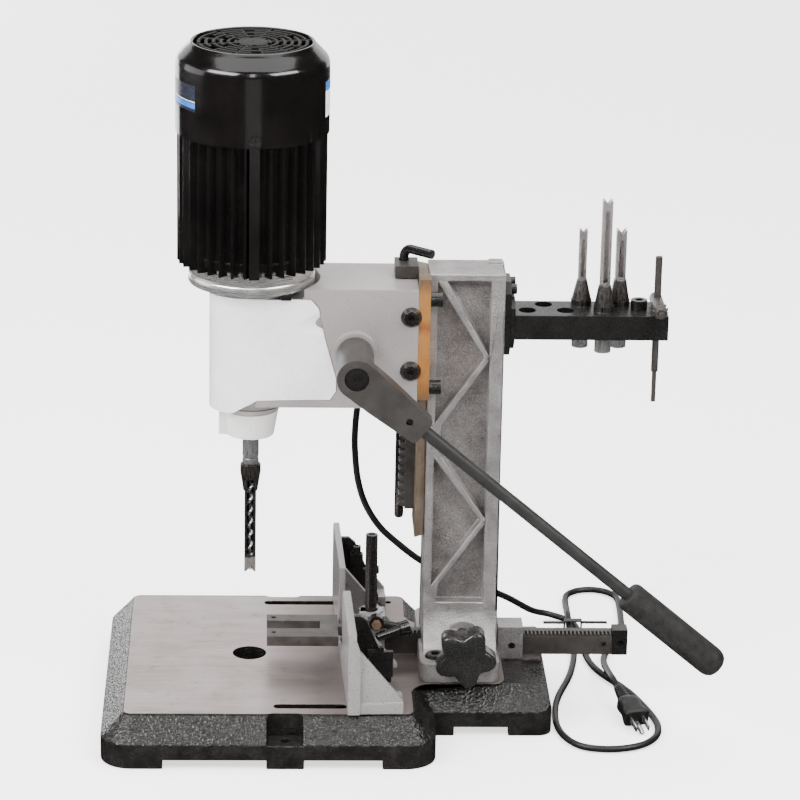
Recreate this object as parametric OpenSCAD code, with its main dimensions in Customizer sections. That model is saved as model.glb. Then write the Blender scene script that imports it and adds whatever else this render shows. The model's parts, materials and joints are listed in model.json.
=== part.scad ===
// Bench-top hollow chisel mortiser as an assembly of separate pieces.
// Millimetres, +Z up. The spindle axis is X = 0, Y = 0 and the feet stand on Z = 0.
// +X points to the back of the machine and the feed lever is on the -Y side.

/* [Part] */
// Node to draw, or all

/* [Table] */
// Height of the ground table surface
table_z = 48; // [40:60]
// Radius of the clearance hole under the chisel
table_hole_r = 16.4; // [12:20]
// Radius of the bolt-down holes
foot_hole_r = 4.5; // [3:6]

/* [Column] */
// Front face of the column
col_x0 = 170; // [165:175]
// Rear face of the column
col_x1 = 243; // [235:250]
// Half width of the column
col_w = 25; // [22:30]
// Top of the column
col_top = 450; // [430:470]

/* [Head] */
// Half width of the head
head_w = 44.5; // [40:50]
// Bottom of the head
head_z0 = 321; // [310:330]
// Top of the head
head_z1 = 440; // [430:450]
// Rear face of the head
head_x1 = 159.5; // [155:162]

/* [Feed] */
// Module of the feed rack
feed_m = 2.75; // [2:0.25:4]
// Teeth on the feed pinion
feed_n = 35; // [20:40]
// Height of the feed pinion axis
feed_z = 378; // [370:390]
// Lever angle below the horizontal
lever_a = 39.7; // [30:50]

/* [Fence] */
// Module of the fence rack
fence_m = 1.25; // [1:0.25:2]
// Teeth on the fence pinion
fence_n = 16; // [12:20]
// Fence angle to the table
fence_skew = 1.8; // [0:0.1:3]

/* [Motor] */
// Radius of the fan cover
motor_r = 73; // [65:80]

/* [Chisel] */
// Width of the square chisel
chisel_w = 11.2; // [6:19]
// Radius of the chisel shank
shank_r = 7.94; // [7.94:9.53]

/* [Hidden] */
$fn = 64;
silver = [0.70, 0.71, 0.72];
bright = [0.78, 0.79, 0.80];
steel = [0.45, 0.43, 0.41];
dark = [0.16, 0.16, 0.16];
black = [0.06, 0.06, 0.06];
feed_r = feed_m * feed_n / 2;
feed_x = 99;
pitch = PI * feed_m;
fence_r = fence_m * fence_n / 2;
fence_pitch = PI * fence_m;
bar_top = 72.7;
bar_bot = 50.7;
pin_x = 209.5;
pin_z = bar_top - fence_m + fence_r;
post_x = 119.8;
lock_x = 125;
lock_z = 90;
rack_tip = feed_x + feed_r - 0.85 * feed_m;

// cylinder along Y from y0 to y1
module cy(x, z, y0, y1, r, n = 64) {
    translate([x, y1, z])
        rotate([90, 0, 0])
            cylinder(r = r, h = y1 - y0, $fn = n);
}

// cylinder along X from x0 to x1
module cx(y, z, x0, x1, r, n = 64) {
    translate([x0, y, z])
        rotate([0, 90, 0])
            cylinder(r = r, h = x1 - x0, $fn = n);
}

// cylinder along Z from z0 to z1
module cz(x, y, z0, z1, r, n = 64) {
    translate([x, y, z0])
        cylinder(r = r, h = z1 - z0, $fn = n);
}

// box from one corner to the other
module bx(x0, x1, y0, y1, z0, z1) {
    translate([x0, y0, z0])
        cube([x1 - x0, y1 - y0, z1 - z0]);
}

// XZ outline extruded along Y from y0 to y1
module ey(y0, y1) {
    translate([0, y1, 0])
        rotate([90, 0, 0])
            linear_extrude(height = y1 - y0)
                children();
}

// YZ outline extruded along X from x0 to x1
module ex(x0, x1) {
    translate([x0, 0, 0])
        rotate([90, 0, 90])
            linear_extrude(height = x1 - x0)
                children();
}

// block with rounded vertical edges
module rb(x0, x1, y0, y1, z0, z1, r) {
    bx(x0 + r, x1 - r, y0, y1, z0, z1);
    bx(x0, x1, y0 + r, y1 - r, z0, z1);
    for (x = [x0 + r, x1 - r])
        for (y = [y0 + r, y1 - r])
            cz(x, y, z0, z1, r);
}

// flat gear outline, tooth centred on the +X axis
function gear_pts(m, n, thick) = [for (i = [0 : n - 1])
    for (k = [0 : 3])
        let (r = m * n / 2,
             rr = (k == 0 || k == 3) ? r - 1.1 * m : r + 0.8 * m,
             hw = (k == 0 || k == 3) ? thick * 1.55 : thick * 0.45,
             a = i * 360 / n + ((k < 2) ? -1 : 1) * hw * m / r * 57.2958)
        [rr * cos(a), rr * sin(a)]];

module slot(x0, x1, y) {
    bx(x0, x1, y - 4.6, y + 4.6, 30, 60);
    for (x = [x0, x1])
        cz(x, y, 30, 60, 4.6);
}

module base_casting() {
    color(black)
    difference() {
        union() {
            rb(-142, 180, -172, 172, 0, 24.6, 30);
            ey(-142, 142)
                polygon([[-142, 24.5], [180, 24.5], [180, 24.6], [159, 47], [-121, 47], [-142, 24.6]]);
            ex(-112, 150)
                polygon([[-172, 24.5], [172, 24.5], [172, 24.6], [151, 47], [-151, 47], [-172, 24.6]]);
            for (x = [-112, 150])
                for (y = [-142, 142])
                    translate([x, y, 24.6])
                        cylinder(r1 = 30, r2 = 9, h = 22.4);
            for (k = [0, 1])
                mirror([0, k, 0])
                    difference() {
                        bx(150, 181, -94, -70, 10, 47);
                        translate([181, -94, 24.6])
                            cylinder(r1 = 1, r2 = 22, h = 22.41);
                        cz(181, -94, 0, 25, 1);
                        bx(180, 190, -95, -60, 0, 24.6);
                    }
            intersection() {
                ey(-93, 93)
                    polygon([[140, 0], [296, 0], [296, 24.6], [291, 47], [140, 47]]);
                ex(140, 296)
                    polygon([[-93, 0], [93, 0], [93, 24.6], [72, 47], [-72, 47], [-93, 24.6]]);
                rb(120, 296, -93, 93, 0, 47, 14);
            }
            rb(-120, 158, -150, 150, 46, table_z, 8);
            rb(140, 250, -76, 76, 46, table_z, 12);
            for (k = [0, 1])
                mirror([0, k, 0])
                    difference() {
                        bx(150, 178, -96, -70, 46, table_z);
                        cz(181, -98, 45, 49, 22.6);
                    }
            bx(245, 290, -14, 70, 46, table_z);
        }
        bx(-132, 170, -162, 162, -1, 14);
        bx(-126, 158, -144, 144, 13, 36);
        bx(150, 286, -83, 83, -1, 14);
        bx(150, 282, -66, 66, 13, 36);
        cz(0, 0, 30, 60, table_hole_r);
        for (y = [-1, 1]) {
            translate([0, y * 168, 0]) {
                bx(-82, 17, -12, 12, -1, 9);
                bx(53, 128, -12, 12, -1, 9);
            }
            rb(17, 52, y * 170 - 22, y * 170 + 22, 24, 60, 6);
        }
        bx(200, 253, -95, 95, -1, 9);
        bx(-143, -130, -120, 120, -1, 9);
        bx(285, 297, -60, 60, -1, 9);
        for (y = [-158, 158])
            cz(35, y, -1, 30, foot_hole_r);
        slot(28.4, 89.4, -131.3);
        slot(19.6, 84, 131.7);
        cz(142, 134, 30, 60, 3);
        for (x = [182, 230])
            for (y = [-54, 54])
                cz(x, y, 30, 60, 5);
    }
    color(black)
    difference() {
        cz(0, 0, 0, 37, 21);
        cz(0, 0, -1, 40, table_hole_r);
    }
}

module pocket(pts) {
    for (s = [-1, 1])
        translate([0, s * (col_w - 6), 0])
            ey(-7, 7)
                polygon(pts);
}

module column_casting() {
    color(silver)
    difference() {
        union() {
            bx(col_x0, col_x1, -col_w, col_w, table_z, col_top);
            rb(166.5, 244.5, -74, 74, table_z, 68, 11);
            ex(170.5, 242.5)
                polygon([[-60, 66], [-44, 71], [-32, 84], [-25, 104], [25, 104], [32, 84], [44, 71],
                    [60, 66]]);
            cy(pin_x, pin_z, -31, -20, 14.6);
            bx(228, 242, 8, 20, col_top - 1, col_top + 3);
        }
        pocket([[187, 443], [229, 443], [229, 367.5]]);
        pocket([[178, 441.7], [223.9, 366], [178, 299.8]]);
        pocket([[229, 363.3], [184, 296.3], [184, 266.8], [229, 200.7]]);
        pocket([[178, 263.1], [225, 198], [178, 130.9]]);
        pocket([[229, 195.1], [185, 131.7], [183, 113], [229, 113]]);
        bx(150, 250, -8.15, 8.15, table_z - 1, bar_top + 0.2);
        cy(pin_x, pin_z, -8.4, 0.4, fence_r + 2.2);
        cy(pin_x, pin_z, -60, 17, 6.05);
        for (x = [182, 230])
            for (y = [-54, 54]) {
                cz(x, y, 40, 80, 5);
                cz(x, y, 60, 100, 9.5);
            }
    }
}

module column_bolts() {
    color(black)
    for (x = [182, 230])
        for (y = [-54, 54])
            difference() {
                union() {
                    cz(x, y, 60, 71, 8.5);
                    cz(x, y, 38, 60.5, 5);
                }
                cz(x, y, 65, 72, 4.6, 6);
            }
}

module dovetail_way() {
    color([0.55, 0.50, 0.38])
    difference() {
        translate([0, 0, 183])
            linear_extrude(height = 264)
                polygon([[170, -22], [160, -30], [160, 30], [170, 22]]);
        for (z = [225, 320, 415])
            for (y = [-17, 17])
                cx(y, z, 159, 171, 3);
    }
}

module way_screws() {
    color(dark)
    for (z = [225, 320, 415])
        for (y = [-17, 17])
            difference() {
                cx(y, z, 160.4, 170, 3);
                cx(y, z, 160, 162.5, 1.7, 6);
            }
}

module feed_rack() {
    color(dark)
    difference() {
        ey(-7.5, 7.5)
            polygon(concat([[160, 204.5], [160, 440.4], [rack_tip + 6, 440.4]],
                [for (i = [13 : -1 : -39])
                    let (zc = feed_z + (i / 2) * pitch)
                    if (i % 2 != 0)
                        each [[rack_tip + 5.9, zc + pitch * 0.36], [rack_tip, zc + pitch * 0.13],
                              [rack_tip, zc - pitch * 0.13], [rack_tip + 5.9, zc - pitch * 0.36]]],
                [[rack_tip + 6, 204.5]]));
        for (z = [212, 300, 432])
            cx(0, z, 144, 153.5, 5);
    }
}

module stop_block() {
    color(steel)
    difference() {
        bx(137.5, 160, -8, 24, 440.4, 452.5);
        cz(146.5, 16, 430, 460, 4.8);
        cx(-1, 447, 137, 141, 3, 6);
    }
}

module stop_rod() {
    color(dark) {
        cz(146.5, 16, 187.5, 464.4, 4.5);
        translate([146.5, 16, 464.4])
            sphere(r = 4.9, $fn = 48);
        translate([146.5, 16, 464.4])
            rotate([0, 0, -42])
                rotate([0, 90, 0])
                    cylinder(r = 4.6, h = 35.5);
    }
}

module tool_rack_flange() {
    color(black)
    difference() {
        union() {
            ex(243, 249)
                polygon([[-14, 366], [14, 366], [23, 376], [23, 430], [14, 440], [-14, 440],
                    [-23, 430], [-23, 376]]);
            ex(249, 253)
                polygon([[-12, 372], [12, 372], [24.5, 384.7], [24.5, 416], [14, 424],
                    [-14, 424], [-24.5, 416], [-24.5, 384.7]]);
        }
        for (p = [[-12, 432], [12, 432]])
            cx(p[0], p[1], 242, 260, 3);
    }
}

module tool_rack_bar() {
    color(black)
    difference() {
        bx(253, 400.7, -24.5, 24.5, 384.7, 409);
        for (x = [265.5, 302.5, 339.5])
            cz(x, -6, 380, 420, 8.25);
        for (x = [282.5, 319, 356])
            cz(x, 13.5, 380, 420, 8.25);
        cz(391.5, 0, 380, 420, 3.8);
        cz(374, 2, 396, 420, 3);
    }
}

module tool_rack_screws() {
    color(black) {
        for (p = [[-12, 432], [12, 432]])
            difference() {
                union() {
                    cx(p[0], p[1], 243, 249.5, 3);
                    cx(p[0], p[1], 249, 254.5, 5);
                }
                cx(p[0], p[1], 252, 255, 2.6, 6);
            }
        difference() {
            union() {
                cz(374, 2, 396, 409.5, 3);
                cz(374, 2, 409, 418, 8);
            }
            cz(374, 2, 414, 419, 4, 6);
        }
    }
}

// spare chisel standing tip up in the bar
module spare(x, y, w, zt, zb, z1) {
    color(bright)
    difference() {
        union() {
            cz(x, y, zb, 411, shank_r);
            cz(x, y, 409.02, 415, 10);
            translate([x, y, 415])
                cylinder(r1 = 9.5, r2 = w * 0.62, h = 20);
            bx(x - w / 2, x + w / 2, y - w / 2, y + w / 2, z1, zt);
        }
        cz(x, y, zb - 1, zt + 1, w * 0.38);
        for (k = [0, 1])
            translate([x, y, zt])
                rotate([0, 0, 90 * k])
                    ey(-20, 20)
                        polygon([[-w * 0.38, 1], [0, -w * 0.45], [w * 0.38, 1]]);
        bx(x - w * 0.22, x + w * 0.22, y - w, y, z1 + 8, zt - 10);
    }
}

module spare_chisel_a() {
    spare(319, 13.5, 7.6, 485, 367, 430);
}

module spare_chisel_b() {
    spare(339.5, -6, 9.6, 520, 368, 430);
}

module spare_chisel_c() {
    spare(356, 13.5, 9.6, 485, 367, 430);
}

module chuck_key() {
    color(steel) {
        cz(391.5, 0, 346, 462, 3.4);
        cz(391.5, 0, 315, 346.5, 2.2);
        difference() {
            cy(391.5, 415.4, -25.2, 16, 6.2);
            cz(391.5, 0, 400, 430, 3.4);
        }
        cy(391.5, 415.4, -41.5, -37, 2.8);
        translate([391.5, -25.2, 415.4])
            rotate([90, 0, 0])
                difference() {
                    cylinder(r1 = 8.4, r2 = 5, h = 12.5, $fn = 44);
                    for (i = [0 : 10])
                        rotate([0, 0, i * 360 / 11])
                            translate([7.4, 0, -1])
                                cylinder(r = 1.3, h = 16, $fn = 16);
                }
    }
}

module fence_guide() {
    color(bright)
    difference() {
        bx(246, 271, -13, 13, table_z, 81.5);
        bx(240, 280, -8.15, 8.15, bar_bot - 0.2, bar_top + 0.2);
        cy(260, 61.5, -14, -8, 3.5);
        for (y = [-10.5, 10.5])
            cx(y, 77.5, 245, 272, 1.6);
    }
}

module guide_screws() {
    color(dark) {
        difference() {
            cy(260, 61.5, -12, -8.4, 3.5);
            cy(260, 61.5, -13, -10, 1.8, 6);
        }
        for (y = [-10.5, 10.5])
            difference() {
                cx(y, 77.5, 246, 271, 1.6);
                cx(y, 77.5, 269, 272, 0.9, 6);
            }
    }
}

module fence_pinion() {
    color(steel) {
        translate([pin_x, -0.6, pin_z])
            rotate([90, 360 / fence_n * 0.5, 0])
                linear_extrude(height = 7.4)
                    polygon(gear_pts(fence_m, fence_n, 0.55));
        cy(pin_x, pin_z, -0.61, 16, 6);
        cy(pin_x, pin_z, -80, -7.99, 6);
    }
}

// five lobed outline of the star knob
function star_r(a) = 21.3 + 9.4 * pow(0.5 + 0.5 * cos(5 * (a + 10)), 0.85);

module star_knob() {
    color(black)
    difference() {
        union() {
            translate([pin_x, 0, pin_z])
                ey(-97.5, -74.5)
                    polygon([for (a = [0 : 4.5 : 355.6]) [star_r(a) * cos(a), star_r(a) * sin(a)]]);
            cy(pin_x, pin_z, -75, -66, 12);
        }
        cy(pin_x, pin_z, -80, -60, 6);
    }
}

// turns its children with the fence plate about the hold-down post
module skewed() {
    translate([post_x, 0, 0])
        rotate([0, 0, fence_skew])
            translate([-post_x, 0, 0])
                children();
}

module fence_casting() {
    color(silver)
    difference() {
        union() {
            skewed() {
                bx(89.4, 97.4, -152, 0, table_z + 0.5, 131);
                bx(89.4, 95.8, -1, 148, table_z + 0.5, 131);
                ey(-154, -149)
                    polygon([[89.4, 48.5], [101.5, 48.5], [101.5, 112], [97.4, 124], [97.4, 131],
                        [89.4, 131]]);
                bx(89.4, 143, -152, -122, table_z + 0.5, 60);
                bx(89.4, 143, 118, 148, table_z + 0.5, 60);
                bx(89.4, 128, -123, 119, table_z + 0.5, 58);
                for (y = [-150, -60, 54, 139])
                    ey(y, y + 7)
                        polygon([[95, 57], [143, 57], [143, 61], [98, 116], [95, 116]]);
            }
            bx(94, 134, -14, 14, 57, 84);
            cz(post_x, 0, 57, 95, 12.5);
            bx(post_x - 3, 134, -13, 13, 57, 93);
            bx(97, 112, -40, 22, 57, 61.5);
        }
        skewed()
            bx(80, 99, -39, 20, 61, 140);
        cz(post_x, 0, 52, 105, 6.05);
        cy(lock_x, lock_z, -20, -10, 3.1);
        bx(86, post_x, -4.4, 4.4, 60, 105);
        bx(134, 140, -8.1, 8.1, 40, 73);
    }
}

module fence_bar() {
    color(black)
    difference() {
        bx(134.2, 360.4, -8, 8, bar_bot, bar_top);
        for (i = [-14 : 38])
            translate([pin_x + (i + 0.5) * fence_pitch, 0, 0])
                ey(-9, 0)
                    polygon([[-0.62, bar_top - 2.9], [0.62, bar_top - 2.9], [1.45, bar_top + 1],
                        [-1.45, bar_top + 1]]);
        cy(352, 61.7, -9, -4, 2.5);
    }
}

module bar_end_block() {
    color(black)
    difference() {
        bx(360.4, 375.7, -8.6, 8.6, bar_bot - 0.4, bar_top + 4);
        cy(369, 62, -9, -6, 3.6);
        cy(369, 62, -10, -5, 1.6, 6);
    }
}

// wedge shaped bracket behind the fence, at y
module wedge(y, x0) {
    ey(y - 3, y + 3)
        polygon([[x0, 62], [x0, 131], [103.5, 131], [110, 125], [134, 68], [134, 62]]);
}

module fence_brackets() {
    color(black)
    skewed()
    difference() {
        union() {
            wedge(-104, 97.4);
            bx(110, 135, -113, -106.9, 70.5, 96.5);
            wedge(106, 95.8);
            bx(104, 117.5, 94, 103.1, 79, 116);
        }
        cz(123, -110, 88, 98, 1.6);
        cz(111, 98.5, 106, 118, 2.5);
        cx(98.5, 98, 110, 120, 2.5);
    }
}

module bracket_screws() {
    color(dark)
    skewed() {
        difference() {
            union() {
                cz(123, -110, 89, 97, 1.6);
                cz(123, -110, 96.5, 101, 3);
            }
            cz(123, -110, 98.5, 102, 1.6, 6);
        }
        cz(111, 98.5, 108, 117, 2.5);
        difference() {
            cz(111, 98.5, 116, 124, 4.4);
            cz(111, 98.5, 121, 125, 2.2, 6);
        }
        cx(98.5, 98, 112, 128, 2.5);
        difference() {
            cx(98.5, 98, 127.5, 134, 4.2);
            cx(98.5, 98, 131, 135, 2.1, 6);
        }
    }
}

module hold_fork() {
    color([0.55, 0.56, 0.57])
    difference() {
        union() {
            bx(17, 86, -31, -9.5, 68, 78.4);
            bx(17, 86, 9.5, 26, 68, 78.4);
            bx(70, 87.5, -31, 26, 68, 78.4);
            bx(87, 118, -4, 4, 68, 78.4);
        }
        cz(post_x, 0, 60, 80, 5.95);
        for (y = [-20, 18])
            cz(24, y, 60, 80, 2.5);
    }
}

module hold_post() {
    color(dark)
    difference() {
        cz(post_x, 0, 62, 174.5, 5.95);
        cz(post_x, 0, 173.5, 178, 3);
    }
}

// a rod between two points
module rod(p, q, r) {
    v = q - p;
    translate(p)
        rotate([0, acos(v[2] / norm(v)), atan2(v[1], v[0])])
            cylinder(r = r, h = norm(v));
}

module lock_screw() {
    color([0.25, 0.20, 0.17]) {
        cy(lock_x, lock_z, -16, -13.2, 3);
        cy(lock_x, lock_z, -29, -15.99, 3.4);
        cy(lock_x, lock_z, -32, -26, 4.8, 6);
    }
}

module lock_handle() {
    color(black)
    difference() {
        union() {
            cy(lock_x, lock_z, -25.5, -16, 7.5);
            rod([128, -21, 89], [152.4, -22, 84], 4.2);
            rod([153.4, -20.8, 84.4], [125.3, -31, 77.6], 4.6);
            rod([156.6, -19.4, 85], [147.6, -22.6, 83], 7.4);
        }
        cy(lock_x, lock_z, -40, -10, 3.4);
        rod([125, -31.1, 77.5], [129, -29.7, 78.5], 2.2);
    }
}

// side outline of the chuck access cover
module cover_outline(g) {
    polygon([[-60, 429.5 + g], [57 + g, 429.5 + g], [64 + g, 421 + g], [70.3 + g, 391], [81.5 + g, 351],
        [81.5 + g, 338 - g], [76 + g, 329.5 - g], [6, 328 - g], [-5, 321.7 - g], [-18, 313 - g],
        [-60, 307 - g]]);
}

module head_outer(r, z0, z1) {
    cz(4.5, 0, z0, z1, r, 96);
    bx(4.5, head_x1, -r, r, z0, z1);
}

module head_casting() {
    color(silver)
    difference() {
        union() {
            difference() {
                union() {
                    head_outer(head_w, head_z0, 432);
                    bx(50, head_x1, -head_w, head_w, 430, head_z1);
                }
                for (s = [-1, 1])
                    translate([0, s * 50, 0])
                        ey(-9.3, 9.3)
                            cover_outline(0.4);
                difference() {
                    bx(-50, 4.5, -50, 50, 306, 430);
                    cz(4.5, 0, 300, 431, 40.7, 96);
                }
            }
            cz(0, 0, 312, head_z0 + 1, 30);
            translate([0, 0, 306])
                cylinder(r1 = 27, r2 = 30, h = 6.01);
            translate([head_x1 - 0.01, 0, 0])
                bx(0, 11.9, 25.6, head_w, head_z0, head_z1);
        }
        translate([0, 0, head_z0 - 1])
            linear_extrude(height = 125)
                polygon([[159.5, 20], [159.5, 30.9], [169.6, 22.8], [169.6, 20]]);
        cz(0, 0, 428, 460, 66);
        cz(0, 0, 300, 327, 14);
        cz(0, 0, 326, 440, 38);
        bx(-60, 30, -34, 34, 330, 424);
        intersection() {
            cy(feed_x, feed_z, -10.5, 10.5, feed_r + feed_m + 3);
            bx(42, 170, -12, 12, 326, 431);
        }
        bx(142.6, 170, -8.3, 8.3, 310, 450);
        cz(146.5, 16, 310, 450, 5.2);
        cy(feed_x, feed_z, -60, 60, 13.05);
        for (z = [412.8, 358.8])
            cy(152.4, z, -60, -32, 4.5);
        for (z = [429, 341])
            cx(-38.2, z, 140, 172, 3);
    }
    color(silver)
    difference() {
        cy(feed_x, feed_z, -52, -44.4, 21);
        cy(feed_x, feed_z, -60, -40, 13.05);
    }
}

module chuck_cover() {
    color([0.76, 0.77, 0.78])
    difference() {
        intersection() {
            difference() {
                union() {
                    cz(4.5, 0, 300, 440, 44.9, 96);
                    bx(4.5, 100, -44.9, 44.9, 300, 440);
                }
                cz(4.5, 0, 290, 450, 41.1, 96);
                bx(4.5, 110, -41.1, 41.1, 290, 450);
            }
            ey(-60, 60)
                cover_outline(0);
        }
        translate([38, -55.4, 400.5])
            rotate([0, 79, 0])
                cylinder(r1 = 9.5, r2 = 19.5, h = 50);
    }
}

module brass_gib() {
    color([0.72, 0.52, 0.25])
    difference() {
        translate([0, 0, 329.4])
            linear_extrude(height = 121)
                polygon([[159.52, -44.5], [170.6, -44.5], [170.6, -25.6], [169.6, -25.6],
                    [169.6, -22.8], [159.52, -30.9]]);
        for (z = [429, 341])
            cx(-38.2, z, 150, 180, 3);
    }
}

module gib_screws() {
    color(black)
    for (z = [429, 341])
        difference() {
            union() {
                cx(-38.2, z, 146, 171, 3);
                cx(-38.2, z, 170.6, 182, 7);
            }
            cx(-38.2, z, 178, 183, 3.4, 6);
        }
}

module side_screws() {
    color(black)
    for (z = [412.8, 358.8])
        difference() {
            union() {
                cy(152.4, z, -44.6, -33, 4.5);
                translate([152.4, -44.52, z])
                    rotate([90, 0, 0])
                        cylinder(r1 = 10.2, r2 = 7, h = 5);
            }
            cy(152.4, z, -50, -46.5, 3.4, 6);
        }
}

module feed_pinion() {
    color(steel) {
        translate([feed_x, 8, feed_z])
            rotate([90, 0, 0])
                linear_extrude(height = 16)
                    difference() {
                        polygon(gear_pts(feed_m, feed_n, 0.42));
                        for (a = [0 : 60 : 300])
                            rotate(a)
                                translate([30, 0])
                                    circle(r = 8);
                        circle(r = 12.9);
                    }
        cy(feed_x, feed_z, -50, 44, 13);
    }
}

module lever_hub() {
    color([0.30, 0.29, 0.28])
    difference() {
        cy(feed_x, feed_z, -110, -52.5, 17.5);
        cy(feed_x, feed_z, -80, -50, 13);
        cy(feed_x, feed_z, -112, -90, 5);
    }
    color([0.30, 0.29, 0.28])
    cy(feed_x, feed_z, -80.01, -50, 12.9);
}

module lever_frame() {
    translate([feed_x, 0, feed_z])
        rotate([0, lever_a, 0])
            children();
}

module lever_arm() {
    color([0.30, 0.29, 0.28])
    lever_frame()
        difference() {
            union() {
                cy(0, 0, -129, -110, 19);
                ey(-129, -110)
                    polygon([[0, 19], [0, -19], [30, -18], [81, -14], [83, -11], [83, 11], [81, 14],
                        [30, 18]]);
            }
            cy(0, 0, -130, -100, 5);
            cy(0, 0, -130, -123, 11.4);
            cy(65, 0, -130, -123, 3.3);
            cx(-119.5, 0, 55, 90, 6.2);
        }
}

module lever_screw() {
    color(dark)
    difference() {
        union() {
            cy(feed_x, feed_z, -127, -123, 11);
            cy(feed_x, feed_z, -123.1, -90, 5);
        }
        cy(feed_x, feed_z, -128, -125, 4.4, 6);
    }
}

module lever_rod() {
    color([0.28, 0.28, 0.28])
    lever_frame()
        cx(-119.5, 0, 55, 385, 6.2);
}

module lever_grip() {
    color([0.20, 0.20, 0.20])
    lever_frame()
        translate([0, -119.5, 0])
            rotate([0, 90, 0])
                difference() {
                    rotate_extrude($fn = 64)
                        polygon([[0, 341], [12, 341], [14.2, 343.5], [14.8, 350], [14.8, 446],
                            [13.6, 452], [10.5, 456.5], [5, 459], [0, 459.5]]);
                    translate([0, 0, 330])
                        cylinder(r = 6.2, h = 55);
                }
}

module motor_end_bell() {
    color(bright)
    difference() {
        union() {
            cz(0, 0, 436, 445.5, 60.8);
            cz(0, 0, 445.5, 447, 58.6);
            cz(0, 0, 447, 462, 60.2);
            cz(0, 0, 462, 470, 62.4);
            cz(0, 0, 430.2, 437, 48);
            cz(4.5, 0, 428, 430.3, 40.2);
        }
        cz(0, 0, 420, 480, 12.6);
        cz(0, 0, 452, 480, 55);
    }
    color(dark)
    bx(28, 38, -50, -40, 430, 436.01);
}

module motor_body() {
    color(black) {
        difference() {
            union() {
                cz(0, 0, 470, 584, 64);
                cz(0, 0, 462, 470.01, 66);
                for (i = [0 : 35])
                    rotate([0, 0, i * 10 + 5])
                        translate([0, 0, 457])
                            linear_extrude(height = 127)
                                polygon([[62.8, -4.4], [71.5, -0.9], [71.5, 0.9], [62.8, 4.4]]);
                bx(-2.5, 7.5, -72.3, -62.8, 457, 584);
            }
            cz(0, 0, 450, 590, 62.6);
        }
        difference() {
            cz(0, 0, 480, 560, 62.61);
            cz(0, 0, 479, 561, 40);
        }
    }
}

module fan_cover() {
    color(black)
    difference() {
        union() {
            cz(0, 0, 584, 652, motor_r);
            translate([0, 0, 652])
                rotate_extrude($fn = 96)
                    polygon([[0, 0], [73, 0], [72.7, 2.2], [71.8, 4.4], [70, 6.4], [60.5, 15.2],
                        [59.4, 16.2], [58.6, 17.6], [57.6, 18.6], [0, 18.6]]);
        }
        cz(0, 0, 570, 650, 70.6);
        cz(0, 0, 640, 664, 60);
        for (r = [12, 24, 36, 48])
            for (k = [0 : 5])
                rotate([0, 0, k * 60 + r])
                    rotate_extrude(angle = 46)
                        translate([r, 655])
                            square([5.5, 20]);
        cy(3.2, 590.7, -80, -60, 3);
    }
}

module cover_screws() {
    color(dark)
    difference() {
        union() {
            cy(3.2, 590.7, -74, -66, 3);
            cy(3.2, 590.7, -76, -73.02, 5.4);
        }
        bx(-3, 9.4, -77, -75, 590.1, 591.3);
        bx(2.6, 3.8, -77, -75, 585, 597);
    }
}

module motor_shaft() {
    color(bright) {
        cz(0, 0, 398, 640, 8);
        cz(0, 0, 500, 545, 12);
    }
}

module motor_rotor() {
    color(steel)
    difference() {
        cz(0, 0, 490, 555, 38.5);
        cz(0, 0, 480, 500, 8);
        cz(0, 0, 499.9, 545.1, 12);
        cz(0, 0, 545, 560, 8);
    }
}

module motor_fan() {
    color(dark)
    difference() {
        union() {
            cz(0, 0, 600, 622, 14);
            cz(0, 0, 600, 603, 55);
            for (i = [0 : 7])
                rotate([0, 0, i * 45])
                    bx(12, 55, -1.2, 1.2, 600, 622);
        }
        cz(0, 0, 590, 630, 8);
    }
}

module motor_bearings() {
    color(steel) {
        difference() {
            cz(0, 0, 437, 447, 12.6);
            cz(0, 0, 430, 450, 8.05);
        }
    }
}

module chuck_body() {
    color(bright)
    difference() {
        rotate_extrude()
            polygon([[0, 342], [12, 342], [18, 352], [18, 356], [21, 356], [21, 376], [18, 376],
                [18, 398], [0, 398]]);
        cz(0, 0, 330, 383, 6.5);
        for (a = [0, 120, 240])
            rotate([0, 0, a])
                cy(0, 388, -30, -9, 3);
    }
}

module chuck_jaws() {
    color(steel)
    difference() {
        cz(0, 0, 337, 383, 6.5);
        cz(0, 0, 330, 390, 3.6);
        for (a = [0, 120, 240])
            rotate([0, 0, a])
                bx(0, 9, -0.5, 0.5, 330, 390);
    }
}

module chisel_holder() {
    color(silver)
    difference() {
        union() {
            translate([0, 0, 280])
                cylinder(r1 = 22.5, r2 = 27, h = 26);
            bx(-31, -18, -9, 9, 281, 306);
            cz(0, 0, 306, 320, 13.9);
        }
        cz(0, 0, 270, 305, shank_r);
        cz(0, 0, 300, 330, 6);
        cx(0, 292, -32, -15, 4);
    }
}

module holder_screw() {
    color(black)
    difference() {
        cx(0, 292, -30.5, -16.1, 4);
        cx(0, 292, -31, -27, 2.2, 6);
    }
}

module mortising_chisel() {
    color(bright)
    difference() {
        union() {
            cz(0, 0, 257, 300, shank_r);
            cz(0, 0, 254.5, 257.01, 7.2);
            cz(0, 0, 248, 254.51, shank_r);
            cz(0, 0, 240.5, 248.01, 10);
            translate([0, 0, 221])
                cylinder(r1 = 7, r2 = 10, h = 19.6);
            intersection() {
                bx(-chisel_w / 2, chisel_w / 2, -chisel_w / 2, chisel_w / 2, 137, 236);
                cz(0, 0, 137, 236, chisel_w * 0.69);
            }
        }
        cz(0, 0, 130, 305, 4.6);
        for (k = [0, 1])
            translate([0, 0, 137])
                rotate([0, 0, 90 * k])
                    ey(-20, 20)
                        polygon([[-4.6, -1], [0, 4.4], [4.6, -1]]);
        bx(-3.2, 3.2, -12, 0, 154, 234);
    }
}

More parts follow.
